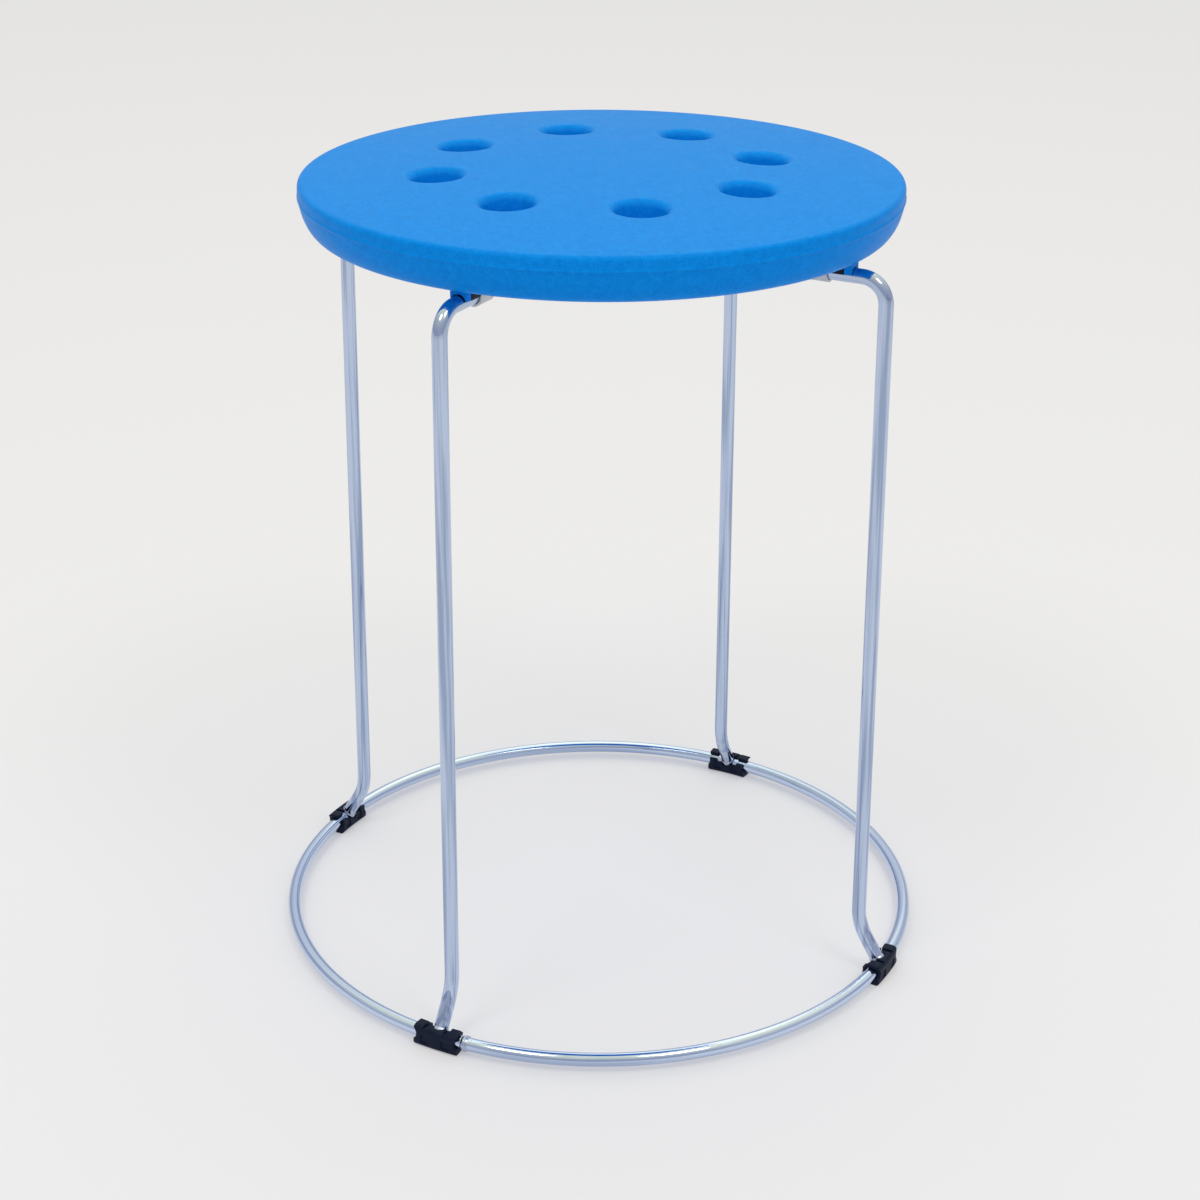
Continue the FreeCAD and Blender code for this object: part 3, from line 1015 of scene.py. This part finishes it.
    def foot_nose(self, drop: float) -> list[list[Vector]]:
        """Loops along the nose of the foot at +X, which sits astride the rod outside the pad.

        Args:
            drop: How far the rod under the foot lies below the higher rod.

        Returns:
            The loops.
        """
        axis = ROD_Z - drop
        low = axis + self.nose_low
        top = self.underside_z + self.foot_root
        loops = []
        sections = [(self.nose_near, 0.0)]
        sections += [(self.nose_far - left, inset) for inset, left in self.eased_edge()]
        for reach, inset in sections:
            half = self.nose_half - inset
            bore = self.nose_bore + inset / 2
            turn = math.asin(self.nose_low / bore)
            arch = stepped(turn, math.pi - turn, self.bore_steps)
            outline = [(half, top), (half, low + self.foot_edge), (half, low)]
            outline += [(bore * math.cos(a), axis + bore * math.sin(a)) for a in arch]
            outline += [(-half, low), (-half, low + self.foot_edge), (-half, top)]
            loops.append([Vector((reach, y, z)) for y, z in outline])
        return loops


def turned_2d(way: Vector, angle: float) -> Vector:
    """A 2D direction turned by an angle, clockwise where positive."""
    cos, sin = math.cos(angle), math.sin(angle)
    return Vector((way.x * cos + way.y * sin, way.y * cos - way.x * sin))


def rounded_rectangle(
    near: float, far: float, half: float, rounding: float, steps: int = 6
) -> list[tuple[float, float]]:
    """Outline of a rectangle along X with round corners, as a turn to the left.

    Args:
        near: Its low side along X.
        far: Its high side along X.
        half: Half its width along Y.
        rounding: Radius of its corners.
        steps: Stretches of each corner.

    Returns:
        The outline, as pairs of X and Y.
    """
    loop = []
    corners = ((far, half, 0), (near, half, 1), (near, -half, 2), (far, -half, 3))
    for x, y, quarter in corners:
        centre_x = x - rounding if x == far else x + rounding
        centre_y = y - rounding if y > 0 else y + rounding
        for angle in stepped(quarter * math.pi / 2, (quarter + 1) * math.pi / 2, steps):
            loop.append((centre_x + rounding * math.cos(angle), centre_y + rounding * math.sin(angle)))
    return loop


@dataclass
class RodFrame:
    """Two bent rods that make the legs, the floor ring and the weld beads that join them."""

    chrome: ChromeFinish
    # Lighter copy of the legs' chrome: painted light for the floor ring.
    ring_chrome_painted_lighter: ChromeFinish
    weld: WeldFinish
    leg_rod: float = 8.0 * MM
    ring_rod: float = 7.5 * MM
    ring_radius: float = 183.2 * MM
    ring_z: float = 6.5 * MM
    rod_z: float = ROD_Z
    leg_top_radius: float = 165.4 * MM
    leg_foot_radius: float = 168.7 * MM
    kink_height: float = 30.0 * MM
    kink_bend: float = 33.0 * MM
    top_bend: float = 13.5 * MM
    end_standoff: float = 2.6 * MM
    joggle_flat: float = 44.0 * MM
    joggle_run: float = 38.0 * MM
    crossing_depth: float = 8.3 * MM
    joggle_bend: float = 40.0 * MM
    leg_sides: int = 40
    bend_steps: int = 20
    ring_sides: int = 36
    ring_steps: int = 288

    def build(self) -> None:
        """Make the rods, the ring and the beads."""
        chrome = self.chrome.material()
        weld = self.weld.material()
        over = self.rod_mesh("hoop_rod_over", self.hoop_corners(0.0), corner_angle(1), chrome)
        new_piece("hoop_rod_over", over, chrome, Slot.ROD, ["hoop_over"])
        under_path = self.hoop_corners(CORNER_DROPS[0])
        under = self.rod_mesh("hoop_rod_under", under_path, corner_angle(0), chrome)
        new_piece("hoop_rod_under", under, chrome, Slot.ROD, ["hoop_under"])
        ring_chrome_painted_lighter = self.ring_chrome_painted_lighter.material()
        new_piece("floor_ring", self.ring_mesh(ring_chrome_painted_lighter), ring_chrome_painted_lighter, Slot.ROD, ["base_ring"])
        for index, corner in enumerate(CORNERS):
            node = "leg_weld_" + corner
            mesh = self.leg_bead("leg_bead_" + corner, index)
            new_piece("leg_bead_" + corner, mesh, weld, Slot.WELD, [node])
        new_piece("ring_bead", self.seam_bead(), weld, Slot.WELD, ["ring_seam_weld"])
        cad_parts["crossing_weld"].data.materials.clear()
        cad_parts["crossing_weld"].data.materials.append(weld)

    def end_way(self) -> Vector:
        """Heading of a leg's last run at +X, down to the middle of the ring's rod."""
        drop = Vector((self.ring_radius - self.leg_foot_radius, 0, self.ring_z - self.kink_height))
        return drop.normalized()

    def hoop_corners(self, drop: float) -> list[tuple[Vector, float]]:
        """Corners of a rod's path in the XZ plane with the bend radius of each.

        Args:
            drop: How far its top run lies below the other rod's, and it passes under it if so.

        Returns:
            Each corner with its bend radius.
        """
        end = Vector((self.ring_radius, 0, self.ring_z)) - self.end_way() * self.end_standoff
        half = [
            (end, 0.0),
            (Vector((self.leg_foot_radius, 0, self.kink_height)), self.kink_bend),
            (Vector((self.leg_top_radius, 0, self.rod_z - drop)), self.top_bend),
        ]
        if drop:
            start = self.joggle_flat / 2
            high = Vector((start + self.joggle_run, 0, self.rod_z - drop))
            low = Vector((start, 0, self.rod_z - self.crossing_depth))
            half += [(high, self.joggle_bend), (low, self.joggle_bend)]
        mirrored = [(Vector((-p.x, 0, p.z)), radius) for p, radius in reversed(half)]
        return half + mirrored

    def rod_mesh(
        self,
        name: str,
        corners: Sequence[tuple[Vector, float]],
        angle: float,
        material: bpy.types.Material,
    ) -> bpy.types.Mesh:
        """Sweep a rod along corners rounded by their bend radii.

        Args:
            name: Name of the mesh.
            corners: Corners of the path in the XZ plane, and their bend radii.
            angle: Turn about Z that puts the path in place.
            material: Finish of the rod.

        Returns:
            The mesh.
        """
        turn = Matrix.Rotation(angle, 3, "Z")
        start = bpy.data.meshes.new(name + "_path")
        edges = [(i, i + 1) for i in range(len(corners) - 1)]
        start.from_pydata([turn @ corner for corner, _ in corners], edges, [])
        bends = start.attributes.new("bend_radius", "FLOAT", "POINT")
        bends.data.foreach_set("value", [radius for _, radius in corners])
        sizes = {"Rod Radius": self.leg_rod / 2, "Sides": self.leg_sides}
        tree = GeometryTree(name, {**sizes, "Bend Steps": self.bend_steps})
        path = tree.node("GeometryNodeMeshToCurve", None, {0: tree.given.outputs[0]})
        named = tree.node("GeometryNodeInputNamedAttribute", {"data_type": "FLOAT"}, {0: "bend_radius"})
        rounding = {"Radius": named.outputs[0], "Count": tree.size("Bend Steps"), "Limit Radius": True}
        inputs = {"Curve": path.outputs[0], **rounding}
        bent = tree.node("GeometryNodeFilletCurve", {"mode": "POLY"}, inputs)
        tree.close(tree.rod(bent.outputs[0], caps=True))
        return tree.run(start, material)

    def ring_mesh(self, material: bpy.types.Material) -> bpy.types.Mesh:
        """Sweep the floor ring's rod round its circle.

        Args:
            material: Finish of the ring.

        Returns:
            The mesh.
        """
        sizes = {"Ring Radius": self.ring_radius, "Rod Radius": self.ring_rod / 2, "Height": self.ring_z}
        steps = {"Steps": self.ring_steps, "Sides": self.ring_sides}
        tree = GeometryTree("floor_ring", {**sizes, **steps})
        path = tree.circle("Steps", "Ring Radius")
        lift = tree.signal("ShaderNodeCombineXYZ", None, {"Z": tree.size("Height")})
        inputs = {"Geometry": path, "Translation": lift}
        raised = tree.node("GeometryNodeTransform", None, inputs)
        tree.close(tree.rod(raised.outputs[0], caps=False))
        return tree.run(bpy.data.meshes.new("floor_ring_start"), material)

    def leg_bead(self, name: str, index: int) -> bpy.types.Mesh:
        """Rippled bead round the end of one leg.

        Args:
            name: Name of the mesh.
            index: Number of the leg's corner.

        Returns:
            The mesh.
        """
        radius, standoff, ripple = 4.65 * MM, 2.8 * MM, 0.10 * MM
        ripples, lean, lumps, seed_step = 11, 2, 3, 5
        middle = Vector((self.ring_radius, 0, self.ring_z)) - self.end_way() * standoff
        turn = Matrix.Rotation(corner_angle(index), 3, "Z")
        tilt = self.end_way().to_track_quat("Z", "Y").to_matrix()

        def swell(polar_angle: float, around: float) -> float:
            """Radius of the bead in one direction.

            Args:
                polar_angle: Angle from the bead's axis.
                around: Heading round that axis.

            Returns:
                The radius.
            """
            wobble = noise.noise(polar(lumps, around, seed_step * index))
            wave = math.cos(ripples * around + lean * polar_angle)
            return radius + ripple * wave + ripple * wobble

        bead = ball(swell, rings=20, around_steps=48)
        bead.points = [turn @ (middle + tilt @ p) for p in bead.points]
        return bead.mesh(name)

    def seam_bead(self) -> bpy.types.Mesh:
        """Lumpy bead round the floor ring where its ends are joined, beside the front left clip.

        Returns:
            The mesh.
        """
        half, swelling = 3.2 * MM, 0.9 * MM
        lumpiness, lumps, along_lumps = 0.12, 2, 4
        past_leg = 16.7 * MM / self.ring_radius
        turn = Matrix.Rotation(corner_angle(len(CORNERS) - 1) + past_leg, 3, "Z")
        root = self.ring_rod / 2 - swelling
        crest = self.ring_rod / 2 + swelling
        along_steps, around_steps = 18, 40
        loops = []
        for t in stepped(-1, 1, along_steps):
            loop = []
            for c in range(around_steps):
                around = c * math.tau / around_steps
                wobble = noise.noise(polar(lumps, around, along_lumps * t))
                swell = (1 - t * t) * (1 - lumpiness + lumpiness * wobble)
                radius = root + (crest - root) * swell
                local = Vector((radius * math.cos(around), t * half, radius * math.sin(around)))
                loop.append(turn @ (local + Vector((self.ring_radius, 0, self.ring_z))))
            loops.append(loop)
        shell = Shell()
        first, last = shell.add_loops(loops)
        shell.close_flat(first, around_steps)
        shell.close_flat(last, around_steps)
        return shell.mesh("ring_bead")


def ball(swell: Callable[[float, float], float], rings: int, around_steps: int) -> Shell:
    """Round blob about the origin with its poles on Z.

    Args:
        swell: Gives the radius for a polar angle and a heading.
        rings: Stretches from pole to pole.
        around_steps: Stretches round the blob.

    Returns:
        The blob.
    """
    headings = [c * math.tau / around_steps for c in range(around_steps)]
    loops = []
    for down in stepped(0, math.pi, rings)[1:-1]:
        height = math.cos(down)
        loops.append([polar(math.sin(down), a, height) * swell(down, a) for a in headings])
    shell = Shell()
    first, last = shell.add_loops(loops)
    shell.close_to(Vector((0, 0, swell(0, 0))), first, around_steps)
    shell.close_to(Vector((0, 0, -swell(math.pi, 0))), last, around_steps)
    return shell


def rounded_edges(
    name: str, work: bmesh.types.BMesh, width: float, material: bpy.types.Material
) -> bpy.types.Mesh:
    """Finish a working mesh with its sharp edges rounded over.

    Args:
        name: Name of the mesh.
        work: The working mesh, which is freed.
        width: Width of the rounding.
        material: Finish of the mesh.

    Returns:
        The finished mesh.
    """
    mesh = bpy.data.meshes.new(name)
    work.to_mesh(mesh)
    work.free()
    mesh.materials.append(material)
    mesh.shade_smooth()
    piece = in_scene(name, mesh)
    bevel = piece.modifiers.new("edges", "BEVEL")
    bevel.limit_method = "ANGLE"
    bevel.angle_limit = EDGE_ANGLE
    bevel.width = width
    bevel.segments = EDGE_STEPS
    bevel.harden_normals = True
    return baked(piece)


@dataclass
class SmallParts:
    """Clips, pads, straps and screws, which keep the frame's shapes with their edges eased."""

    black: BlackPlasticFinish
    zinc: ZincFinish
    moulded_edge: float = 0.35 * MM
    sheet_edge: float = 0.15 * MM
    screw_reach: float = 127.7 * MM
    screw_spacing: float = 21.0 * MM
    screw_seat: float = 415.3 * MM
    screw_room: float = 7.0 * MM
    join_distance: float = 0.005 * MM
    flat_angle: float = math.radians(1)

    def build(self) -> None:
        """Make every small part."""
        black = self.black.material()
        zinc = self.zinc.material()
        kinds = (
            ("foot_clip_", "clip_", black, Slot.BLACK, self.moulded_edge),
            ("rod_pad_", "pad_", black, Slot.BLACK, self.moulded_edge),
            ("strap_", "strap_plate_", zinc, Slot.ZINC, self.sheet_edge),
        )
        for corner in CORNERS:
            for node, name, material, slot, width in kinds:
                self.eased(node + corner, name + corner, material, slot, width)
        new_piece("screws", self.screws(zinc), zinc, Slot.ZINC, ["strap_screws"])

    def eased(
        self, node: str, name: str, material: bpy.types.Material, slot: Slot, width: float
    ) -> bpy.types.Object:
        """Copy a node of the frame, with its sharp edges rounded over.

        Args:
            node: The frame's node.
            name: Name of the new piece.
            material: Its finish.
            slot: Slot name, passed on to new_piece.
            width: Width of the rounding.

        Returns:
            The new piece.
        """
        work = self.merged(node)
        return new_piece(name, rounded_edges(name, work, width, material), material, slot, [node])

    def merged(self, node: str) -> bmesh.types.BMesh:
        """Copy of a node's mesh with its loose triangles joined and its flat areas made whole.

        Args:
            node: The frame's node.

        Returns:
            A working mesh, which the caller frees.
        """
        work = bmesh.new()
        work.from_mesh(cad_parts[node].data)
        bmesh.ops.remove_doubles(work, verts=work.verts, dist=self.join_distance)
        limit = self.flat_angle
        bmesh.ops.dissolve_limit(work, angle_limit=limit, verts=work.verts, edges=work.edges)
        return work

    def screws(self, material: bpy.types.Material) -> bpy.types.Mesh:
        """Set a copy of the frame's first screw down on every screw place.

        Args:
            material: Finish of the screws.

        Returns:
            The mesh of all the screws.
        """
        drop = CORNER_DROPS[0]
        place = Vector((self.screw_reach, -self.screw_spacing / 2, self.screw_seat - drop))
        work = self.merged("strap_screws")
        back = Matrix.Translation(-place) @ Matrix.Rotation(-corner_angle(0), 4, "Z")
        bmesh.ops.transform(work, matrix=back, verts=work.verts)
        others = [v for v in work.verts if v.co.xy.length > self.screw_room]
        bmesh.ops.delete(work, geom=others, context="VERTS")
        one = rounded_edges("one_screw", work, self.sheet_edge, material)
        sizes = {"Reach": self.screw_reach, "Spacing": self.screw_spacing, "Seat": self.screw_seat}
        turns = {"First Heading": FIRST_CORNER_ANGLE, "Quarter": math.tau / len(CORNERS)}
        tree = GeometryTree("screws", {**sizes, **turns, "Drop": drop, "Count": 2 * len(CORNERS)})
        index = tree.signal("GeometryNodeInputIndex")
        corner = index // 2
        side = index % 2 - 0.5
        lowered = 1 - corner % 2
        heading = corner * tree.wrapped("Quarter") + tree.wrapped("First Heading")
        inputs = {
            "X": tree.size("Reach"),
            "Y": side * tree.wrapped("Spacing"),
            "Z": tree.wrapped("Seat") - lowered * tree.wrapped("Drop"),
        }
        ahead = tree.signal("ShaderNodeCombineXYZ", None, inputs)
        inputs = {"Vector": ahead, "Angle": heading}
        spot = tree.node("ShaderNodeVectorRotate", {"rotation_type": "Z_AXIS"}, inputs)
        inputs = {"Count": tree.size("Count"), "Position": spot.outputs[0]}
        points = tree.node("GeometryNodePoints", None, inputs)
        turn = tree.signal("ShaderNodeCombineXYZ", None, {"Z": heading})
        inputs = {"Points": points.outputs[0], "Instance": tree.given.outputs[0], "Rotation": turn}
        placed = tree.node("GeometryNodeInstanceOnPoints", None, inputs)
        tree.close(placed.outputs[0])
        return tree.run(one, material)


@dataclass(frozen=True)
class SoftLight:
    """Square soft light that points at the middle of the object, with its power in watts."""

    name: str
    place: tuple
    side: float
    power: float

    def build(self) -> None:
        """Put the light in the scene."""
        light = bpy.data.lights.new(self.name, "AREA")
        light.shape = "SQUARE"
        light.size = self.side
        light.energy = self.power
        holder = in_scene(self.name, light)
        holder.location = self.place
        aim = Vector((0, 0, cad_high.z / 2)) - Vector(self.place)
        holder.rotation_mode = "QUATERNION"
        holder.rotation_quaternion = aim.to_track_quat("-Z", "Y")


@dataclass
class Studio:
    """Pale floor, soft light and the camera of the photograph."""

    camera_place: tuple = (-363.5 * MM, -1210.1 * MM, 752.7 * MM)
    camera_heading: float = math.radians(16.72)
    camera_pitch: float = math.radians(23.80)
    camera_roll: float = math.radians(0.22)
    focal_pixels: float = 2402.2
    image_pixels: float = 1200.0
    sensor: float = 36.0
    floor_colour: tuple = (0.46, 0.457, 0.488)
    floor_glow: tuple = (0.34, 0.34, 0.356)
    floor_size: float = 60.0
    floor_roughness: float = 0.9
    floor_reflection: float = 0.1
    level_colour: tuple = (0.90, 0.92, 1.05)
    zenith_colour: tuple = (1.02, 1.00, 0.76)
    zenith_band: tuple = (0.2, 0.9)
    front_glow: float = 0.55
    back_glow: float = 0.40
    back_band: tuple = (-0.4, 0.9)
    back_rise: tuple = (0.15, 0.6)
    zenith_glow: float = 0.47
    lights: tuple = (
        SoftLight("back_light", (0.5, 1.3, 2.6), 2.2, 7.0),
        SoftLight("left_softbox", (-1.04, -0.73, 2.2), 0.6, 7.5),
        SoftLight("right_softbox", (0.46, -1.18, 2.2), 0.6, 7.5),
    )

    def build(self) -> None:
        """Set up the camera, the floor and the lights."""
        scene = bpy.context.scene
        scene.view_settings.view_transform = "Standard"
        self.camera()
        self.floor()
        self.world()
        for light in self.lights:
            light.build()

    def camera(self) -> None:
        """Camera at the photograph's place."""
        lens = bpy.data.cameras.new("camera")
        lens.sensor_width = self.sensor
        lens.lens = self.focal_pixels / self.image_pixels * self.sensor
        lens.clip_end = self.floor_size
        holder = in_scene("camera", lens)
        level = math.cos(self.camera_pitch)
        ahead = Vector((
            math.sin(self.camera_heading) * level,
            math.cos(self.camera_heading) * level,
            -math.sin(self.camera_pitch),
        ))
        turn = ahead.to_track_quat("-Z", "Y").to_matrix() @ Matrix.Rotation(self.camera_roll, 3, "Z")
        holder.matrix_world = Matrix.Translation(self.camera_place) @ turn.to_4x4()
        bpy.context.scene.camera = holder

    def floor(self) -> None:
        """Plain pale floor that glows a little, so that shadows on it stay faint."""
        half = self.floor_size / 2
        mesh = bpy.data.meshes.new("studio_floor")
        corners = [(-half, -half, 0), (half, -half, 0), (half, half, 0), (-half, half, 0)]
        mesh.from_pydata(corners, [], [(0, 1, 2, 3)])
        plane = in_scene("studio_floor", mesh)
        material = bpy.data.materials.new("pale_studio_paper")
        ShaderGraph(material).finish({
            "Base Color": (*self.floor_colour, 1.0),
            "Emission Color": (*self.floor_glow, 1.0),
            "Emission Strength": 1.0,
            "Roughness": self.floor_roughness,
            "Specular IOR Level": self.floor_reflection,
        })
        mesh.materials.append(material)

    def world(self) -> None:
        """Studio dome: cool near the horizon, warmer overhead, brighter high behind the stool."""
        world = bpy.data.worlds.new("studio")
        bpy.context.scene.world = world
        world.use_nodes = True
        graph = NodeGraph(world.node_tree)
        graph.tree.nodes.clear()
        way = graph.node("ShaderNodeTexCoord").outputs["Generated"]
        rise = graph.signal("ShaderNodeSeparateXYZ", None, {0: way}, 2)
        lift = graph.signal("ShaderNodeMath", {"operation": "MAXIMUM"}, {0: rise, 1: 0.0})
        back = (math.sin(self.camera_heading), math.cos(self.camera_heading), 0.0)
        settings = {"operation": "DOT_PRODUCT"}
        behind = graph.signal("ShaderNodeVectorMath", settings, {0: way, 1: back}, 1)
        high_behind = behind.ramped(*self.back_band) * lift.ramped(*self.back_rise)
        glows = self.back_glow * high_behind + self.zenith_glow * (lift * lift)
        colour = graph.blend(lift.ramped(*self.zenith_band), self.level_colour, self.zenith_colour)
        inputs = {"Color": colour, "Strength": self.front_glow + glows}
        background = graph.node("ShaderNodeBackground", None, inputs)
        graph.node("ShaderNodeOutputWorld", None, {"Surface": background.outputs[0]})


def main() -> None:
    """Build the stool and the studio."""
    MouldedSeat(MouldedSeatFinish()).build()
    # Painted light: the ring's chrome is a lighter copy of the legs' chrome, so that the ring looks more
    # brightly lit.
    ring_chrome_painted_lighter = ChromeFinish(
        name="bright_chrome_ring_painted_lighter", ring_wise=True, colour=(0.60, 0.70, 0.88), streak_and_dark_reflection=(0.42, 0.51, 0.69)
    )
    RodFrame(ChromeFinish(), ring_chrome_painted_lighter, WeldFinish()).build()
    SmallParts(BlackPlasticFinish(), ZincFinish()).build()
    Studio().build()


if __name__ == "__main__":
    main()
